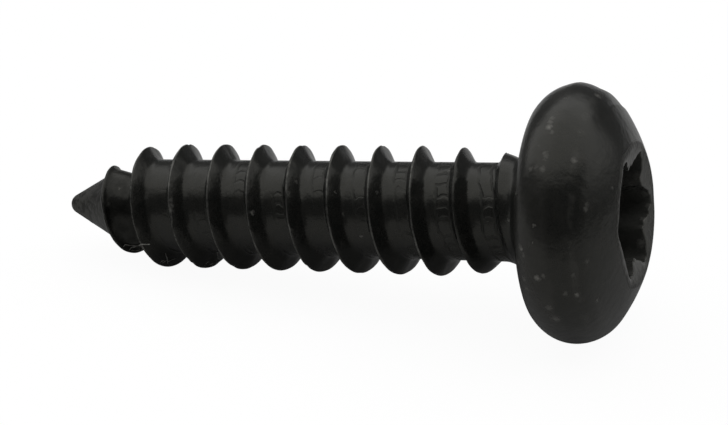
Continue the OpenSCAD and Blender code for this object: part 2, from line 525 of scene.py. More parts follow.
all_head[..., 1] -= np.tan(CROWN_TILT) * all_head[..., 0] * np.cos(head_turn) * askew
lip_first = len(head_rings) + len(crown) - 1
recess_first = lip_first + len(lip)
print("head and recess:", len(all_head), "rings")

# %% [markdown]
# ## The nose
# The tip of the cone is a small ball, worn round. Its rings run from a single point at the tip to
# the first ring of the winding grid.

# %% Rings of the nose
nose_arc = arc((0.0, NOSE_R), NOSE_R, -np.pi / 2, -POINT_HALF, 7)[1:]
cone_d = np.linspace(nose_arc[-1, 1], LOW_D, 7)[1:]
nose_outline = np.concatenate([nose_arc, np.stack([shaft_radius(cone_d), cone_d], -1)])
nose_rings = np.broadcast_to(nose_outline[:, None, :], (len(nose_outline), COLUMNS, 2))
print("nose:", len(nose_outline), "rings")

# %% [markdown]
# ## Sewing the pieces into one skin
# Every vertex gets a number. Held points of the winding grid take the number of the ring vertex
# they lie on, the poles are one vertex each, and faces that lost a corner become triangles or
# vanish. What is left is one closed skin, which is checked by counting each edge.

# %% Number the vertices
NEARLY = 1e-9
held_low = shank_d <= LOW_D + NEARLY
held_high = shank_d >= HIGH_D - NEARLY
free = ~(held_low | held_high)
ring_column = np.broadcast_to((column % COLUMNS)[:, None], shank_d.shape)

tip_pole = 0
nose_start = 1
shank_start = nose_start + nose_rings.shape[0] * COLUMNS
head_start = shank_start + int(free.sum())
floor_pole = head_start + all_head.shape[0] * COLUMNS

nose_index = nose_start + np.arange(nose_rings.shape[0] * COLUMNS).reshape(-1, COLUMNS)
head_index = head_start + np.arange(all_head.shape[0] * COLUMNS).reshape(-1, COLUMNS)
shank_index = np.zeros(shank_d.shape, int)
shank_index[free] = shank_start + np.arange(free.sum())
shank_index[held_low] = nose_index[-1][ring_column[held_low]]
shank_index[held_high] = head_index[0][ring_column[held_high]]
print("vertices:", floor_pole + 1)

# %% Cut grids into triangles
def closed(grid):
    """A ring grid with its first column repeated at the end, so the faces go all the way round."""
    return np.concatenate([grid, grid[:, :1]], axis=1)


def triangles(index, woven=False):
    """Two triangles for each cell of an index grid, facing outwards, and each corner's grid place.

    Rows run along the outline from the tip, columns run with the turn. Cells with a repeated
    corner lose the triangle that has no area. Woven cells are cut along one diagonal and the other in
    turn, like a chessboard, so that no direction shows in the gloss."""
    cell = np.arange(index.size).reshape(index.shape)
    a, b = cell[:-1, :-1].ravel(), cell[:-1, 1:].ravel()
    c, d = cell[1:, 1:].ravel(), cell[1:, :-1].ravel()
    across = (woven & (np.add.outer(*map(np.arange, index.shape)) % 2 == 1))[:-1, :-1].ravel()
    first = np.stack([a, b, np.where(across, d, c)], 1)
    second = np.stack([np.where(across, b, a), c, d], 1)
    corners = np.concatenate([first, second])
    made = index.ravel()[corners]
    whole = (made[:, 0] != made[:, 1]) & (made[:, 1] != made[:, 2]) & (made[:, 2] != made[:, 0])
    return made[whole], corners[whole]


def turn_map(turns, along):
    """Map places for a grid: turns round the axis one way, pitches along the outline the other."""
    return np.stack(np.broadcast_arrays(turns[None, :], along[:, None]), -1).reshape(-1, 2)


print("sewing tools ready")

# %% Sew the faces
winding = np.concatenate([shank_index[:-COLUMNS], shank_index[COLUMNS:, :1]], axis=1).T
tip_row = np.full((1, COLUMNS), tip_pole)
floor_row = np.full((1, COLUMNS), floor_pole)
grids = [
    closed(np.concatenate([tip_row, nose_index])),
    winding,
    closed(head_index[:recess_first]),
    closed(np.concatenate([head_index[recess_first - 1:], floor_row])),
]
ring_turns = np.append(head_turn, head_turn[0] + 2 * np.pi) / (2 * np.pi)
BELOW_THREAD, ABOVE_THREAD = -2.0, 3.0
maps = [
    turn_map(ring_turns, BELOW_THREAD + np.linspace(0.0, 1.0, len(grids[0]))),
    turn_map(column_turn[:-COLUMNS] / (2 * np.pi), np.append(rows, PITCH) / PITCH),
    turn_map(ring_turns, ABOVE_THREAD + np.linspace(0.0, 1.0, len(grids[2]))),
    turn_map(ring_turns, ABOVE_THREAD + np.linspace(1.0, 2.0, len(grids[3]))),
]
sewn = [triangles(grid, woven) for grid, woven in zip(grids, (True, False, True, True))]
faces = np.concatenate([made for made, corners in sewn])
face_map = np.concatenate([places[corners] for places, (made, corners) in zip(maps, sewn)])
in_recess = np.repeat([0, 0, 0, 1], [len(made) for made, corners in sewn])
print("triangles:", len(faces), "of which in the recess:", int(in_recess.sum()))

# %% Look for open edges
half_edges = np.concatenate([faces[:, [0, 1]], faces[:, [1, 2]], faces[:, [2, 0]]])
forward = half_edges[:, 0].astype(np.int64) * (floor_pole + 1) + half_edges[:, 1]
backward = half_edges[:, 1].astype(np.int64) * (floor_pole + 1) + half_edges[:, 0]
open_edges = np.setxor1d(forward, backward).size
doubled = forward.size - np.unique(forward).size
print("open edges:", open_edges, "doubled:", doubled)

# %% [markdown]
# ## Into Blender
# The skin goes into the mesh as whole arrays. Five numbers ride on its vertices: how rubbed an edge
# is, how much the point is scoured and the countersink's lip carries a painted highlight, how deep the
# dies left their prints, how hazy the rim of the head is with fine dust, and where the painted shade
# lies in the first turn.

# %% Places of the vertices
def ring_points(rings, base):
    """World places of a stack of rings; base is the height that the rings' own heights start from."""
    turn = np.broadcast_to(head_turn, rings.shape[:2])
    return place(rings[..., 0], turn, rings[..., 1] + base).reshape(-1, 3)


def on_axis_point(height):
    """World place of a point on the axis."""
    return place(np.zeros(1), np.zeros(1), np.array([height]))


shank_points = place(shank_r, shank_turn, shank_d - SHANK_L)[free]
points = np.concatenate([
    on_axis_point(-SHANK_L),
    ring_points(nose_rings, -SHANK_L),
    shank_points,
    ring_points(all_head, 0.0),
    on_axis_point(lobe_floor_t - FLOOR_DEPTH),
])

print("vertices placed:", len(points))

# %% Marks on the vertices
RIM_RUB, TEETH_RUB = 0.12, 0.15
# The lip of the countersink takes the pale scoured tones as a painted highlight.
RIM_PAINTED_HIGHLIGHT = 0.7
SCOUR_D, SCOUR_SHARE = (0.9, 1.5, 2.6), (1.0, 0.45, 0.0)
ROLLED_D, ROLLED_SHARE = (3.0, 7.0, 14.0, 18.0), (0.2, 0.42, 0.5, 0.72)
HAZE_T, HAZE_SHARE = (RIM_H - 0.1, RIM_H + 0.4), (1.0, 0.0)

lip_start = head_start + lip_first * COLUMNS
recess_start = head_start + recess_first * COLUMNS
rub = np.zeros(len(points))
rub[shank_start:head_start] = shank_rub[free]
head_rub = np.zeros(all_head.shape[:2])
head_rub[lip_first:recess_first] = RIM_RUB
head_rub[recess_first:recess_first + len(edge)] = TEETH_RUB
rub[head_start:floor_pole] = head_rub.ravel()

from_tip = (points - seat) @ axis / MM + SHANK_L
scour = np.interp(from_tip, SCOUR_D, SCOUR_SHARE)
# The lip ring's share is a painted highlight; on the point the same mark is wear.
scour[lip_start:recess_start] = RIM_PAINTED_HIGHLIGHT
rolled = np.interp(from_tip, ROLLED_D, ROLLED_SHARE)
haze = np.zeros(len(points))
haze[head_start:floor_pole] = np.interp(all_head[..., 1], HAZE_T, HAZE_SHARE).ravel()
haze[recess_start:] = 0.0
soot = np.zeros(len(points))
soot[shank_start:head_start] = shank_painted_shade[free]
marks = {"rub": rub, "scour": scour, "rolled": rolled, "haze": haze, "soot": soot}
print("mean of each mark:", {name: round(float(mark.mean()), 3) for name, mark in marks.items()})

# %% Make the mesh
def show(name, data):
    """An object with the given data, put into the scene."""
    made = bpy.data.objects.new(name, data)
    bpy.context.scene.collection.objects.link(made)
    return made


mesh = bpy.data.meshes.new("black_screw")
mesh.vertices.add(len(points))
mesh.vertices.foreach_set("co", points.astype(np.float32).ravel())
mesh.loops.add(faces.size)
mesh.loops.foreach_set("vertex_index", faces.astype(np.int32).ravel())
mesh.polygons.add(len(faces))
mesh.polygons.foreach_set("loop_start", np.arange(0, faces.size, 3, dtype=np.int32))
mesh.polygons.foreach_set("material_index", in_recess.astype(np.int32))
mesh.polygons.foreach_set("use_smooth", np.ones(len(faces), dtype=bool))
mesh.update(calc_edges=True)
wound = mesh.uv_layers.new(name="wound")
wound.uv.foreach_set("vector", face_map.astype(np.float32).ravel())
for name, values in marks.items():
    attribute = mesh.attributes.new(name, "FLOAT", "POINT")
    attribute.data.foreach_set("value", values.astype(np.float32))

screw = show("black_screw", mesh)
print("skin problems found and mended:", mesh.validate(), "faces:", len(mesh.polygons))

# %% [markdown]
# ## Camera
# The viewing angle was fitted to the outline of the photograph: a long lens, a level camera a
# little above the screw, turned towards its head.

# %% Camera
PHOTO_WIDE = 728
SENSOR = 36.0
FOCAL_PIXELS = 1901.5
CAMERA_TURN = np.radians(20.651)
CAMERA_RISE = np.radians(24.34)
CAMERA_FAR = 67.764
AIM_LEFT_OF_SEAT = 6.5415
AIM_ABOVE_SEAT = 0.015

right = np.array([np.cos(CAMERA_TURN), np.sin(CAMERA_TURN), 0.0])
towards = np.array([np.sin(CAMERA_TURN), -np.cos(CAMERA_TURN), 0.0])
back = np.cos(CAMERA_RISE) * towards + np.array([0.0, 0.0, np.sin(CAMERA_RISE)])
above = np.cross(back, right)
aim = seat + MM * (AIM_ABOVE_SEAT * above - AIM_LEFT_OF_SEAT * right)
camera_place = aim + MM * CAMERA_FAR * back

camera_data = bpy.data.cameras.new("camera")
camera_data.sensor_width = SENSOR
camera_data.sensor_fit = "HORIZONTAL"
camera_data.lens = FOCAL_PIXELS * SENSOR / PHOTO_WIDE
camera_data.clip_start = 0.001
camera = show("camera", camera_data)
camera_axes = np.stack([right, above, back, camera_place], 1)
camera.matrix_world = Matrix(camera_axes.tolist() + [[0.0, 0.0, 0.0, 1.0]])
bpy.context.scene.camera = camera
print("camera in mm:", np.round(camera_place / MM, 2), "lens", round(camera_data.lens, 2))

# %% [markdown]
# ## Where the dirt lies
# Dust and lint stick where they fell, and the photograph shows where that was. A ray from the
# camera through a pixel meets the skin at the very place, so each grain is fixed to the metal and
# stays there from any side.

# %% Find a place on the skin
PHOTO_HIGH = 425

bpy.context.view_layer.update()


def skin_at(pixel, lift=0.0):
    """The point where the ray through a pixel meets the skin, lifted off it along the normal."""
    across = (pixel[0] - PHOTO_WIDE / 2) / FOCAL_PIXELS
    upward = (PHOTO_HIGH / 2 - pixel[1]) / FOCAL_PIXELS
    ray = across * right + upward * above - back
    hit, point, normal, face = screw.ray_cast(Vector(camera_place), Vector(ray).normalized())
    return np.array(point + lift * normal)


PIXEL_MM = CAMERA_FAR / FOCAL_PIXELS
print("one pixel is", round(PIXEL_MM, 4), "mm")

# %% [markdown]
# ## Lint
# A few fibres of lint have caught on the sharp crests near the point. Each is a thin tube along a line
# that was drawn through pixels of the photograph. The rays drop that line onto the skin, and the tube
# rests there, one radius above it.

# %% Lines of the fibres
LONG_FIBRE = [
    (123.2, 247), (123.8, 245.2), (125, 244.3), (130, 244.8), (135, 245.3), (139, 244.9), (142, 244.1),
    (146, 244.3), (149.2, 244.3), (149.8, 243.5),
]
HOOKED_FIBRE = [(129, 250), (129.6, 248.8), (130.8, 247.6), (132.5, 246.6), (134.2, 246.2), (136.3, 245.4)]
LOW_FIBRE = [(130.5, 250), (134, 250), (138.3, 249.7), (143, 249)]
UPRIGHT_FIBRE = [(165.2, 252.5), (165.8, 255.4), (166.7, 257.9), (167.3, 260.8), (167.7, 263.6)]
SIDE_FIBRE = [(167.5, 261.7), (170, 260.4), (173.3, 259), (176.7, 257.9)]
SHORT_FIBRE = [(160.5, 262), (161.7, 260.8), (164.2, 260.4)]
SLANTED_FIBRE = [(162, 263), (164.2, 261.7), (166.7, 260)]
FAR_UPRIGHT_FIBRE = [(217.1, 250.8), (217.5, 254.2), (217.8, 259.2)]
FAR_CURVED_FIBRE = [(205.8, 264.5), (206, 263), (207.5, 262), (209.2, 261.7)]
FAR_SLANTED_FIBRE = [(209, 264.5), (211.7, 263.6), (215.8, 262), (220, 260)]
THICK, MEDIUM, THIN = 0.02, 0.016, 0.012
FIBRES = [
    (LONG_FIBRE, THICK), (HOOKED_FIBRE, THICK), (LOW_FIBRE, THIN), (UPRIGHT_FIBRE, MEDIUM),
    (SIDE_FIBRE, THIN), (SHORT_FIBRE, THIN), (SLANTED_FIBRE, THIN), (FAR_UPRIGHT_FIBRE, THIN),
    (FAR_CURVED_FIBRE, THIN), (FAR_SLANTED_FIBRE, THIN),
]
print("fibres of lint:", len(FIBRES))

# %% Lay the fibres
LINT_SIDES = 6
LINT_STEP = 0.7


def lint_rings(line, radius):
    """Rings of a tube along a line of pixels, from its first end to its last.

    The line is cut into even steps and laid on the skin. A ring is a circle about each place, in the
    plane across the line's direction, and the first and last rings shrink to the ends themselves."""
    pixels = np.array(line)
    travel = np.concatenate([[0.0], np.cumsum(np.linalg.norm(np.diff(pixels, axis=0), axis=1))])
    stops = np.linspace(0.0, travel[-1], int(travel[-1] / LINT_STEP) + 3)
    drawn = np.stack([np.interp(stops, travel, pixels[:, 0]), np.interp(stops, travel, pixels[:, 1])], -1)
    middle = np.array([skin_at(pixel, radius * MM) for pixel in drawn])
    middle[1:-1] = (middle[:-2] + 2.0 * middle[1:-1] + middle[2:]) / 4.0
    along = np.gradient(middle, axis=0)
    side = np.cross(along, back)
    side /= np.linalg.norm(side, axis=1, keepdims=True)
    over = np.cross(side, along)
    over /= np.linalg.norm(over, axis=1, keepdims=True)
    angle = np.linspace(0.0, 2 * np.pi, LINT_SIDES, endpoint=False)[None, :, None]
    thick = radius * MM * np.ones(len(middle))
    thick[[0, -1]] = 0.0
    circle = np.cos(angle) * side[:, None] - np.sin(angle) * over[:, None]
    return middle[:, None] + thick[:, None, None] * circle


print("fibre recipe ready")

# %% Make the lint
lint_points, lint_faces, lint_count = [], [], 0
for line, radius in FIBRES:
    rings = lint_rings(line, radius)
    index = lint_count + 1 + np.arange((len(rings) - 2) * LINT_SIDES).reshape(-1, LINT_SIDES)
    start, end = lint_count, lint_count + index.size + 1
    tube = np.concatenate([np.full((1, LINT_SIDES), start), index, np.full((1, LINT_SIDES), end)])
    lint_faces.append(triangles(closed(tube))[0])
    lint_points.extend([rings[:1, 0], rings[1:-1].reshape(-1, 3), rings[-1:, 0]])
    lint_count = end + 1

lint_mesh = bpy.data.meshes.new("pale_lint")
lint_mesh.from_pydata(np.concatenate(lint_points).tolist(), [], np.concatenate(lint_faces).tolist())
lint = show("pale_lint", lint_mesh)
a, b, c = np.concatenate(lint_points)[np.concatenate(lint_faces)].transpose(1, 0, 2)
print("lint:", lint_count, "points, volume in cubic mm:", float((a * np.cross(b, c)).sum() / 6) / MM**3)

# %% [markdown]
# ## Helpers for node trees
# A finish is a tree of nodes. One helper adds a node, sets its properties and fills its sockets,
# either with a value or with a wire from another node. A wire can be reckoned with: plus, minus and
# times put Math nodes into its tree, so each recipe below reads as a formula.

# %% Nodes and wires
class Wire:
    """A wire from a node's output. Each step on it adds a Math node to the same tree."""

    def __init__(self, socket):
        self.socket = socket
        self.tree = socket.id_data

    def step(self, operation, other=0.0, clamp=False, swapped=False):
        """The result of a Math node on this wire and a number or another wire."""
        inputs = {0: other, 1: self} if swapped else {0: self, 1: other}
        return add(self.tree, "ShaderNodeMath", inputs, operation=operation, use_clamp=clamp)[0]

    def __add__(self, other):
        return self.step("ADD", other)

    def __sub__(self, other):
        return self.step("SUBTRACT", other)

    def __rsub__(self, other):
        return self.step("SUBTRACT", other, swapped=True)

    def __mul__(self, other):
        return self.step("MULTIPLY", other)

    def __truediv__(self, other):
        return self.step("DIVIDE", other)


def fill(socket, value):
    """Leads a wire into a socket, or sets the socket to a number, a colour or a vector."""
    if isinstance(value, Wire):
        value.tree.links.new(value.socket, socket)
    else:
        socket.default_value = value


def wires(node):
    """A node's outputs as wires, found by number or by name."""
    return {key: Wire(socket) for i, socket in enumerate(node.outputs) for key in (i, socket.name)}


def add(tree, kind, inputs=None, **settings):
    """Adds a node of a kind to a tree, with its settings and filled inputs, and returns its wires."""
    made = tree.nodes.new(kind)
    for name, value in settings.items():
        setattr(made, name, value)
    for name, value in (inputs or {}).items():
        fill(made.inputs[name], value)
    return wires(made)


print("nodes and wires ready")

# %% Finishes and groups
def new_finish(name):
    """A material with nodes, and its tree."""
    material = bpy.data.materials.new(name)
    material.use_nodes = True
    return material, material.node_tree


def new_group(name, inputs, outputs):
    """A shader node group. An input is a number with its start value, or a vector where that is None."""
    group = bpy.data.node_groups.new(name, "ShaderNodeTree")
    for label, start in inputs.items():
        kind = "NodeSocketVector" if start is None else "NodeSocketFloat"
        socket = group.interface.new_socket(label, in_out="INPUT", socket_type=kind)
        if start is not None:
            socket.default_value = start
    for label in outputs:
        group.interface.new_socket(label, in_out="OUTPUT", socket_type="NodeSocketFloat")
    return group, wires(group.nodes.new("NodeGroupInput")), group.nodes.new("NodeGroupOutput").inputs


def use_group(tree, group, inputs):
    """Places a group in a tree and returns its wires."""
    return add(tree, "ShaderNodeGroup", inputs, node_tree=group)


print("finishes and groups ready")

# %% Mixes and noises
def mix_colour(share, first, second):
    """Goes from the first colour to the second as share goes from 0 to 1."""
    return add(share.tree, "ShaderNodeMix", {"Factor": share, 6: first, 7: second}, data_type="RGBA")[2]


def mix_value(share, first, second):
    """Goes from the first number to the second as share goes from 0 to 1."""
    return add(share.tree, "ShaderNodeMix", {"Factor": share, 2: first, 3: second}, data_type="FLOAT")[0]


def noise(place, scale, detail=2.0, roughness=0.55, output=0):
    """A noise on given coordinates; its output 0 is a value about 0.5, its output 1 a colour."""
    inputs = {"Vector": place, "Scale": scale, "Detail": detail, "Roughness": roughness}
    return add(place.tree, "ShaderNodeTexNoise", inputs)[output]


def fade(value, start, end):
    """0 at the start value, 1 at the end value, smooth between them."""
    limits = {"Value": value, "From Min": start, "From Max": end}
    return add(value.tree, "ShaderNodeMapRange", limits, interpolation_type="SMOOTHSTEP")[0]


def dot(place, way):
    """The dot product of a place or direction with a fixed vector."""
    inputs = {0: place, 1: tuple(way)}
    return add(place.tree, "ShaderNodeVectorMath", inputs, operation="DOT_PRODUCT")["Value"]


print("mixes and noises ready")

# %% [markdown]
# ## Grain of the black coat
# A black conversion coat follows the steel's own grain: fine and dull, a little dented, and uneven
# in gloss and tone from patch to patch. Noises on Object coordinates give that. The heights are in
# thousandths of a millimetre, so the bump has a real size.

# %% Grain group
FINE_SCALE = 11000.0
DENT_SCALE = 2300.0
PATCH_SCALE = 900.0
MOTTLE_SCALE = 3000.0
MOTTLE_EDGE = (0.36, 0.64)
PIT_SCALE = 4600.0
PIT_EDGE = (0.4, 0.58)

grain_group, given, ends = new_group(
    "black_grain",
    {"Place": None, "Fine Height": 1.0, "Dent Height": 1.0},
    ["Height", "Patch", "Mottle", "Fleck"],
)
here = given["Place"]
fine_height = noise(here, FINE_SCALE, 2.0, 0.6) * given["Fine Height"]
dent_height = noise(here, DENT_SCALE, 2.0, 0.5) * given["Dent Height"]
fill(ends["Height"], fine_height + dent_height)
fill(ends["Patch"], noise(here, PATCH_SCALE, 4.0, 0.6))
fill(ends["Mottle"], fade(noise(here, MOTTLE_SCALE, 4.0, 0.72), *MOTTLE_EDGE))
fill(ends["Fleck"], fade(noise(here, PIT_SCALE, 3.0, 0.6), *PIT_EDGE))
print("grain group made")

# %% [markdown]
# ## Rubbed edges
# Wear is never even. The mark on the vertices is added to a noise, and a step turns the sum into
# islands of bare steel.

# %% Edge wear group
WEAR_STEEP = 2.5

wear_group, given, ends = new_group(
    "rubbed_edge",
    {"Place": None, "Mark": 0.0, "Patchy": 3200.0, "Keep": 0.5},
    ["Wear"],
)
pushed = given["Mark"] + noise(given["Place"], given["Patchy"], 3.0, 0.65) - given["Keep"]
worn = (pushed - 0.5).step("MULTIPLY", WEAR_STEEP, clamp=True)
fill(ends["Wear"], worn * given["Mark"])
print("edge wear group made")

# %% [markdown]
# ## Marks of the rolling dies
# Worn dies leave a row of shallow prints on the core, like small plates with grooves between them.
# The map of the skin counts turns one way and pitches the other, so a print is a place on that map:
# one groove along the winding, one beyond it, and arched cross grooves where a pattern in one
# dimension has the edges of its cells. Each plate also tilts a little, by its own random number.

# %% Roll mark group
PLATES_A_TURN = 23.0
PLATE_SWAY = 0.9
NEAR_GROOVE = 0.5
FAR_GROOVE = 0.8
MIDDLE = 0.66
ARCH = -9.0
SLOW_SCALE, SLOW_SWAY = 420.0, 0.26
QUICK_SCALE, QUICK_SWAY = 1900.0, 0.17
GROOVE_EDGE = (0.046, 0.014)
CROSS_EDGE = (0.17, 0.05)
CROSS_SHARE = 0.75
BREAK_SCALE, BREAK_EDGE = 760.0, (0.36, 0.5)
WORN_SCALE, WORN_EDGE = 480.0, (0.85, 1.15)

roll_group, given, ends = new_group(
    "roll_marks",
    {"Wound": None, "Place": None, "Amount": 0.5},
    ["Groove", "Plate"],
)
here = given["Place"]
wound_place = add(roll_group, "ShaderNodeSeparateXYZ", {0: given["Wound"]})
sway = noise(here, QUICK_SCALE) - 0.5
slow = noise(here, SLOW_SCALE, 1.0) - 0.5
swayed = wound_place[1] + sway * QUICK_SWAY + slow * SLOW_SWAY
bow = (swayed - MIDDLE).step("POWER", 2.0)
plates = wound_place[0] * PLATES_A_TURN + sway * PLATE_SWAY + bow * ARCH
cells, each = [
    add(roll_group, "ShaderNodeTexVoronoi", {"W": plates, "Scale": 1.0, "Randomness": 1.0},
        voronoi_dimensions="1D", feature=feature)
    for feature in ("DISTANCE_TO_EDGE", "F1")
]
chances = add(roll_group, "ShaderNodeSeparateColor", {0: each["Color"]})
between = swayed.step("GREATER_THAN", NEAR_GROOVE) * swayed.step("LESS_THAN", FAR_GROOVE)
kept = chances[1].step("LESS_THAN", CROSS_SHARE)
cross = fade(cells["Distance"], *CROSS_EDGE) * (between * kept)
near_line, far_line = [
    fade((swayed - line).step("ABSOLUTE"), *GROOVE_EDGE) for line in (NEAR_GROOVE, FAR_GROOVE)
]
near_line = near_line * fade(noise(here, BREAK_SCALE, 1.0), *BREAK_EDGE)
lines = near_line.step("MAXIMUM", far_line).step("MAXIMUM", cross)
worn_in = fade(noise(here, WORN_SCALE) + given["Amount"], *WORN_EDGE)
tilt = (chances[0] - 0.5) * (plates - each["W"])
fill(ends["Groove"], lines * worn_in)
fill(ends["Plate"], tilt * between * worn_in)
print("roll mark group made")

# %% [markdown]
# ## Lines of the heading dies
# Where the halves of the dies met, a fine line runs round the head, and dirt settles along it. It
# lies at one height above the seat, and that height is the dot product of the place and the axis.
# A noise breaks the line up.

# %% Die line group
LINE_HALF = 0.00015
SWAY_SCALE, LINE_SWAY = 520.0, 0.00022
GAP_SCALE, GAP_EDGE = 1500.0, (0.42, 0.62)

line_group, given, ends = new_group("die_line", {"Place": None, "Height": 0.002}, ["Line"])
here = given["Place"]
over_seat = dot(here, axis) - float(seat @ axis) + (noise(here, SWAY_SCALE) - 0.5) * LINE_SWAY
off_line = (over_seat - given["Height"]).step("ABSOLUTE")
broken = fade(noise(here, GAP_SCALE, 3.0), *GAP_EDGE)
fill(ends["Line"], fade(off_line, LINE_HALF, LINE_HALF / 3) * broken)
print("die line group made")

# %% [markdown]
# ## Dust
# Grains of pale dust sit on the coat. Most are scattered by a Voronoi pattern, which puts one centre
# in each cell and keeps the few cells with a low random number. The larger clumps have their own
# places. A noise bends the coordinates first, so that no grain is a neat ball.

# %% Dust groups
LEAST_GRAIN = 0.3
GRAIN_STEEP = 5.0
GRAIN_LEVEL = 0.7
CLUMP_FLAT = 1.3
CLUMP_POWER = 1.5

dust_group, given, ends = new_group(
    "pale_dust",
    {"Place": None, "Cells": 2600.0, "Share": 0.06, "Size": 0.2},
    ["Dust"],
)
cells = add(dust_group, "ShaderNodeTexVoronoi", {"Vector": given["Place"], "Scale": given["Cells"]},
            voronoi_dimensions="3D", feature="F1")
chances = add(dust_group, "ShaderNodeSeparateColor", {0: cells["Color"]})
kept = chances[0].step("LESS_THAN", given["Share"])
inside = given["Size"] * (chances[1] + LEAST_GRAIN) - cells["Distance"]
speck = inside.step("MULTIPLY", GRAIN_STEEP, clamp=True)
fill(ends["Dust"], speck * (kept * (chances[2] * GRAIN_LEVEL)))

clump_group, given, ends = new_group(
    "dust_clump",
    {"Place": None, "Middle": None, "Size": 0.0001, "Level": 0.5},
    ["Dust"],
)
away = add(clump_group, "ShaderNodeVectorMath", {0: given["Place"], 1: given["Middle"]}, operation="DISTANCE")
nearness = 1.0 - away["Value"] / given["Size"]
thick = nearness.step("MULTIPLY", CLUMP_FLAT, clamp=True).step("POWER", CLUMP_POWER)
fill(ends["Dust"], thick * given["Level"])
print("dust groups made")

# %% [markdown]
# ## Clumps seen in the photograph
# Each clump is a pixel, a size in pixels and a thickness. The head caught most of them on the side
# that is turned to the thread.

# %% Places of the clumps
HEAD_CLUMPS = [
    (549, 127, 3.6, 0.42), (552, 118, 3.0, 0.16), (545, 153, 2.6, 0.16), (543, 169, 2.8, 0.18),
    (531, 169, 2.6, 0.12), (574, 160, 3.2, 0.30), (586, 209, 3.0, 0.12), (537, 278, 3.2, 0.40),
    (543, 276, 2.4, 0.20), (524, 279, 2.8, 0.16), (520, 247, 3.0, 0.14), (577, 295, 2.8, 0.34),
    (565, 294, 3.0, 0.14), (597, 301, 2.4, 0.14), (549, 308, 4.0, 0.14), (556, 319, 5.0, 0.16),
    (527, 289, 3.0, 0.14), (573, 275, 3.0, 0.12), (587, 261, 3.0, 0.10), (612, 188, 2.2, 0.12),
    (546, 156, 2.6, 0.14), (536, 167, 2.4, 0.12), (550, 122, 2.6, 0.20), (552, 132, 2.4, 0.14),
    (523, 255, 2.6, 0.12), (518, 262, 2.4, 0.10), (587, 205, 3.0, 0.10), (598, 96, 4.0, 0.20),
]
SHANK_CLUMPS = [
    (361, 236, 1.8, 0.40), (252, 213, 2.6, 0.30), (296, 182, 2.2, 0.10), (377, 192, 2.2, 0.14),
    (343, 214, 2.0, 0.12), (289, 194, 2.4, 0.10), (168, 185, 2.0, 0.22), (516, 193, 2.0, 0.16),
    (171, 200, 3.2, 0.16), (171.5, 205, 3.4, 0.18), (171, 210, 3.2, 0.16),
]
RECESS_CLUMPS = [
    (646, 194, 4.5, 0.14), (644, 219, 4.0, 0.12), (641, 243, 4.5, 0.14), (630, 273, 4.0, 0.06),
    (637, 176, 5.0, 0.08), (648, 206, 3.0, 0.10),
]


def settled(clumps):
    """Each clump's place on the skin, its size and its level."""
    return [(skin_at(clump[:2]).tolist(), *clump[2:]) for clump in clumps]


on_coat = settled(HEAD_CLUMPS + SHANK_CLUMPS)
in_recess_clumps = settled(RECESS_CLUMPS)
print("clumps of dust:", len(on_coat), "on the coat and", len(in_recess_clumps), "in the recess")

# %% [markdown]
# ## The worn black coat
# The coat is a thin dielectric over steel: almost black underneath, with a satin gloss that carries
# the light of the room. Bare steel shows on the crests, the roll marks are duller than the rest, and
# dust lies on top of it all. The painted shade in the first turn mirrors less than the coat does, and a
# metal of a nearly black colour does the same, so the painted shade is mixed in that way.

# %% Tones and depths of the coat
COAT, COAT_PALE = (0.009, 0.0097, 0.009, 1.0), (0.0138, 0.0139, 0.0127, 1.0)
# Painted light: the recess tones are several times paler than the coat, so the shaded recess renders lighter.
RECESS_PAINTED_LIGHT, RECESS_PAINTED_LIGHT_PALE = (0.04, 0.041, 0.0378, 1.0), (0.054, 0.054, 0.0498, 1.0)
# Scoured tones: worn metal on the point, and a painted highlight on the countersink's lip.
SCOUR_AND_HIGHLIGHT_DARK, SCOUR_AND_HIGHLIGHT_PALE = (0.005, 0.005, 0.0047, 1.0), (0.046, 0.0455, 0.042, 1.0)
HAZE = (0.0225, 0.0222, 0.0206, 1.0)
# Painted shade: the nearly black tone laid on the first turn by the point.
PAINTED_SHADE_COLOUR = (0.006, 0.006, 0.0056, 1.0)
STEEL = (0.15, 0.148, 0.139, 1.0)
DUST = (0.42, 0.41, 0.38, 1.0)
# The gloss tint is painted light: the warm colour of the studio light, put into the coat's reflections.
GLOSS_TINT = (1.0, 0.99, 0.9, 1.0)
COAT_IOR = 1.44
GLOSS_SPREAD = 0.07
GROOVE_DULL = 0.25
SCOUR_DULL = 0.3
STEEL_ROUGH = 0.34
DUST_ROUGH = 0.9
MOTTLED_HAZE = 0.6
MOTTLED_PAINTED_SHADE = 0.6
HAZE_EDGE = (0.2, 0.9)
HAZE_DUST = 0.16

MICRON = 0.000001
FINE_DEEP = 4.5
DENT_DEEP = 18.0
GROOVE_DEEP = 20.0
PLATE_TILT = 34.0
SCOUR_DEEP = 16.0
DIE_LINE_HEIGHT = 0.00208
DIE_LINE_LEVEL = 0.03
BEND_SCALE, DUST_BEND = 8000.0, 0.00026
CLUMP_GROW = 1.35
print("bump in mm: fine", FINE_DEEP * MICRON / MM, "dents", DENT_DEEP * MICRON / MM)

# %% Dust on the coat
def lying_dust(tree, here, dusty, dust_share, clumps):
    """How thick the dust lies: the largest of scattered grains, clumps and the die line, on bent places."""
    bend = noise(here, BEND_SCALE, 3.0, 0.65, output=1)
    stretch = {0: bend, 1: (DUST_BEND,) * 3, 2: here}
    bent = add(tree, "ShaderNodeVectorMath", stretch, operation="MULTIPLY_ADD")[0]
    bent = add(tree, "ShaderNodeVectorMath", {0: bent, 1: (DUST_BEND / 2,) * 3}, operation="SUBTRACT")[0]
    dust = use_group(tree, dust_group, {"Place": bent, "Share": dusty * HAZE_DUST + dust_share})["Dust"]
    for middle, size, level in clumps:
        reach = CLUMP_GROW * size * PIXEL_MM * MM
        inputs = {"Place": bent, "Middle": middle, "Size": reach, "Level": level}
        dust = dust.step("MAXIMUM", use_group(tree, clump_group, inputs)["Dust"])
    line = use_group(tree, line_group, {"Place": here, "Height": DIE_LINE_HEIGHT})["Line"]
    return dust.step("MAXIMUM", line * DIE_LINE_LEVEL)


print("dust recipe ready")

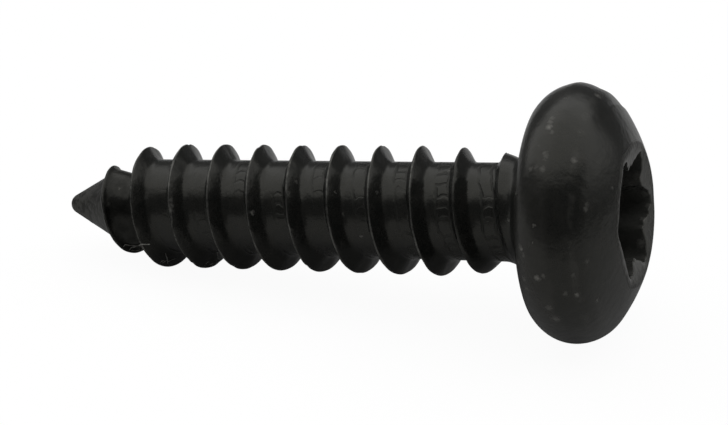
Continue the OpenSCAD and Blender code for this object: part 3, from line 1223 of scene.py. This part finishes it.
# %% Coat material
def coat_material(name, tones, clumps, roughness, dents, dust_share, keep):
    """The black coat with its own two tones, clumps of dust, roughness, share of the dents, share of
    scattered dust and hold on the edges."""
    material, tree = new_finish(name)
    shader = tree.nodes["Principled BSDF"].inputs
    here = add(tree, "ShaderNodeTexCoord")["Object"]
    wound = add(tree, "ShaderNodeUVMap", uv_map="wound")[0]
    rubbed, scoured_and_highlit, rolled, dusty, painted_shade_share = [
        add(tree, "ShaderNodeAttribute", attribute_name=mark)["Fac"] for mark in marks
    ]
    heights = {"Place": here, "Fine Height": FINE_DEEP * dents, "Dent Height": DENT_DEEP * dents}
    grain = use_group(tree, grain_group, heights)
    wear = use_group(tree, wear_group, {"Place": here, "Mark": rubbed, "Keep": keep})["Wear"]
    prints = use_group(tree, roll_group, {"Wound": wound, "Place": here, "Amount": rolled})
    groove = prints["Groove"]
    dust = lying_dust(tree, here, dusty, dust_share, clumps)

    hazy = fade(dusty + (grain["Patch"] - 0.5), *HAZE_EDGE) * mix_value(grain["Mottle"], MOTTLED_HAZE, 1.0)
    # Painted shade in the first turn: darker, and mixed in as a nearly black metal so that it mirrors little.
    painted_shade_share = painted_shade_share * mix_value(grain["Mottle"], 1.0, MOTTLED_PAINTED_SHADE)
    colour = mix_colour(hazy, mix_colour(grain["Mottle"], *tones), HAZE)
    # Scoured tones: wear on the point, a painted highlight on the lip.
    colour = mix_colour(scoured_and_highlit, colour, mix_colour(grain["Fleck"], SCOUR_AND_HIGHLIGHT_DARK, SCOUR_AND_HIGHLIGHT_PALE))
    colour = mix_colour(wear, mix_colour(painted_shade_share, colour, PAINTED_SHADE_COLOUR), STEEL)
    fill(shader["Base Color"], mix_colour(dust, colour, DUST))
    fill(shader["Metallic"], wear.step("MAXIMUM", painted_shade_share).step("SUBTRACT", dust, clamp=True))

    satin = mix_value(grain["Patch"], roughness - GLOSS_SPREAD, roughness + GLOSS_SPREAD)
    satin = satin + groove * GROOVE_DULL + scoured_and_highlit * SCOUR_DULL
    fill(shader["Roughness"], mix_value(dust, mix_value(wear, satin, STEEL_ROUGH), DUST_ROUGH))

    pits = grain["Fleck"] * (scoured_and_highlit * SCOUR_DEEP)
    height = grain["Height"] - groove * GROOVE_DEEP + prints["Plate"] * PLATE_TILT + pits
    bump = add(tree, "ShaderNodeBump", {"Height": height, "Distance": MICRON, "Strength": 1.0})
    fill(shader["Normal"], bump[0])
    fill(shader["Specular Tint"], GLOSS_TINT)
    fill(shader["IOR"], COAT_IOR)
    return material


print("coat recipe ready")

# %% Coat the screw and its recess
mesh.materials.append(coat_material("worn_black_coat", (COAT, COAT_PALE), on_coat,
                                    roughness=0.25, dents=1.0, dust_share=0.05, keep=0.8))
# The recess gets the coat with painted light: its tones are paler to lift the recess's shade.
mesh.materials.append(coat_material("recess_black_coat", (RECESS_PAINTED_LIGHT, RECESS_PAINTED_LIGHT_PALE), in_recess_clumps,
                                    roughness=0.26, dents=0.25, dust_share=0.03, keep=0.7))
print("materials:", [material.name for material in mesh.materials])

# %% [markdown]
# ## Lint finish
# Lint is dull and pale, and grey in places. One noise along the fibre is enough.

# %% Lint material
LINT, LINT_PALE = (0.15, 0.148, 0.136, 1.0), (0.36, 0.355, 0.33, 1.0)
LINT_SCALE, LINT_EDGE = 2600.0, (0.4, 0.6)
LINT_ROUGH = 0.9

lint_finish, tree = new_finish("pale_lint")
shader = tree.nodes["Principled BSDF"].inputs
here = add(tree, "ShaderNodeTexCoord")["Object"]
fill(shader["Base Color"], mix_colour(fade(noise(here, LINT_SCALE), *LINT_EDGE), LINT, LINT_PALE))
fill(shader["Roughness"], LINT_ROUGH)
lint_mesh.materials.append(lint_finish)
print("lint finish:", lint_finish.name)

# %% [markdown]
# ## The floor
# The photograph was cut out on white. A floor that glows for the camera gives that white without
# putting more light on the screw; a part of it stays an ordinary matt white, so the screw still
# throws its soft shadow. In reflections it is darker under the screw and close behind it, because the
# undersides in the photograph show no bright ground there, and also in front, where the white sheet
# ends and the dark patch on the head begins.

# %% Floor
FLOOR_HALF = 1.5

floor_mesh = bpy.data.meshes.new("pale_floor")
corners = FLOOR_HALF * np.array([[-1, -1, 0], [1, -1, 0], [1, 1, 0], [-1, 1, 0]])
floor_mesh.from_pydata(corners.tolist(), [], [[0, 1, 2, 3]])
floor = show("pale_floor", floor_mesh)
print("floor:", 2 * FLOOR_HALF, "m square")

# %% Floor finish
FLOOR_TONE = 0.66
# SHADE_TONE and the shade ellipse below are a painted shadow: under and close behind the screw the floor is
# darker, in reflections only.
SHADE_TONE = 0.38
PAST_TONE = 0.22
SHADOW_SHARE = 0.12
GLOSSY_SHARE = 0.08
GLOSSY_GLOW = 0.4
CAMERA_GLOW = 1.08
SHADE_MIDDLE = (0.001, 0.0035)
SHADE_REACH = (0.016, 0.0065)
SHADE_EDGE = (1.2, 0.5)
SHEET_END = (0.02, 0.06)
SHEET_SIDE = (0.045, 0.015)
WHITE = (1.0, 1.0, 1.0, 1.0)

floor_finish, tree = new_finish("pale_floor")
tree.nodes.clear()
ray = add(tree, "ShaderNodeLightPath")
mirrored = ray["Is Glossy Ray"].step("MAXIMUM", ray["Is Transmission Ray"])
ground = add(tree, "ShaderNodeTexCoord")["Object"]
spot = add(tree, "ShaderNodeSeparateXYZ", {0: ground})
offsets = [(spot[i] - SHADE_MIDDLE[i]) / SHADE_REACH[i] for i in (0, 1)]
spread = offsets[0].step("POWER", 2.0) + offsets[1].step("POWER", 2.0)
past_sheet = fade(dot(ground, towards), *SHEET_END) * fade(dot(ground, right), *SHEET_SIDE)
# Painted shadow in reflections: the ellipse under the screw darkens the floor's tone for mirrored rays.
tone = mix_value(mirrored * fade(spread, *SHADE_EDGE), FLOOR_TONE, SHADE_TONE)
tone = mix_value(mirrored * past_sheet, tone, PAST_TONE)
grey = add(tree, "ShaderNodeCombineColor", {0: tone, 1: tone, 2: tone})[0]
matt = add(tree, "ShaderNodeBsdfDiffuse", {"Color": grey})[0]
glow_level = mix_value(ray["Is Camera Ray"], GLOSSY_GLOW, CAMERA_GLOW)
glow = add(tree, "ShaderNodeEmission", {"Color": WHITE, "Strength": glow_level})[0]
share = mix_value(ray["Is Camera Ray"], mirrored * GLOSSY_SHARE, 1.0 - SHADOW_SHARE)
both = add(tree, "ShaderNodeMixShader", {0: share, 1: matt, 2: glow})[0]
add(tree, "ShaderNodeOutputMaterial", {"Surface": both})
floor_mesh.materials.append(floor_finish)
print("floor finish:", floor_finish.name)

# %% [markdown]
# ## The studio
# The reflections in the photograph tell what stood round the screw: a white canopy that comes down on
# all sides but is lifted in front for the camera, a white card low on the left and a taller one on
# the right, and an unlit room at the camera, which shows as the dark patch in the middle of the head.
# The world is that room. It reads the direction of a ray: the canopy is all that lies above its hem,
# the left card is a cone about its own direction, and the tall card a strip on the wall behind it.

# %% Shapes of canopy and cards
HEM = 0.56
HEM_LIFT = 0.27
HEM_SOFT = 0.12
RIGHT_SIDE = 104.0
STRIP_LEFT = (-0.9, -0.08)
STRIP_RIGHT = (0.36, 0.1)
STRIP_FOOT = (0.05, 0.42)
LEAST_AHEAD = 0.05
SKY = (0.0, 0.0, 1.0)


def studio_direction(side, rise):
    """A direction in the room: side is the angle from the camera to its right, rise the angle above level."""
    side, rise = np.radians(side), np.radians(rise)
    flat = np.cos(side) * towards + np.sin(side) * right
    return np.cos(rise) * flat + np.array([0.0, 0.0, np.sin(rise)])


def soft_cone(direction, middle, inner, outer):
    """1 within the inner angle of a middle direction, 0 beyond the outer one, by the cosine between them."""
    start, end = np.cos(np.radians([outer, inner])).tolist()
    return fade(dot(direction, middle), start, end)


def white_canopy(direction):
    """1 above the hem, 0 below. The hem's height is a constant, plus a lift times the cosine of the angle
    from the camera round the room where that is positive."""
    upwards = dot(direction, SKY)
    level_part = (1.0001 - upwards.step("POWER", 2.0)).step("SQRT")
    front = dot(direction, studio_direction(0.0, 0.0)) / level_part
    hem = front.step("MAXIMUM", 0.0) * HEM_LIFT + HEM
    return fade(upwards - hem, -HEM_SOFT, HEM_SOFT)


def tall_card(direction):
    """A strip on the wall: side and height on the wall are a ray's parts divided by its part towards it."""
    ahead = dot(direction, studio_direction(RIGHT_SIDE, 0.0))
    reach = ahead.step("MAXIMUM", LEAST_AHEAD)
    side = dot(direction, studio_direction(RIGHT_SIDE + 90.0, 0.0)) / reach
    foot = fade(dot(direction, SKY) / reach, *STRIP_FOOT)
    strip = fade(side, *STRIP_LEFT) * fade(side, *STRIP_RIGHT) * foot
    return strip * ahead.step("GREATER_THAN", LEAST_AHEAD)


print("canopy and cards ready")

# %% World
ROOM = 0.09
CANOPY = 0.98
RIGHT_CARD = 0.86
LEFT_CARD = 1.0
LEFT_PLACE = (-122, 33)
LEFT_REACH = (12.0, 23.0)

world = bpy.data.worlds.new("studio")
bpy.context.scene.world = world
world.use_nodes = True
tree = world.node_tree
tree.nodes.clear()
direction = add(tree, "ShaderNodeTexCoord")["Generated"]
light = mix_value(tall_card(direction), ROOM, RIGHT_CARD)
light = mix_value(white_canopy(direction), light, CANOPY)
light = mix_value(soft_cone(direction, studio_direction(*LEFT_PLACE), *LEFT_REACH), light, LEFT_CARD)
light = mix_value(add(tree, "ShaderNodeLightPath")["Is Camera Ray"], light, 1.0)
cloth = add(tree, "ShaderNodeBackground", {"Color": WHITE, "Strength": light})[0]
add(tree, "ShaderNodeOutputWorld", {"Surface": cloth})
print("studio made")

# %% [markdown]
# ## Hand over
# The skin stands for the imported node and rides on the only body.

# %% Finish
bpy.context.scene.view_settings.view_transform = "Standard"
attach(screw, "root")
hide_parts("screw")
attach(lint, "root")
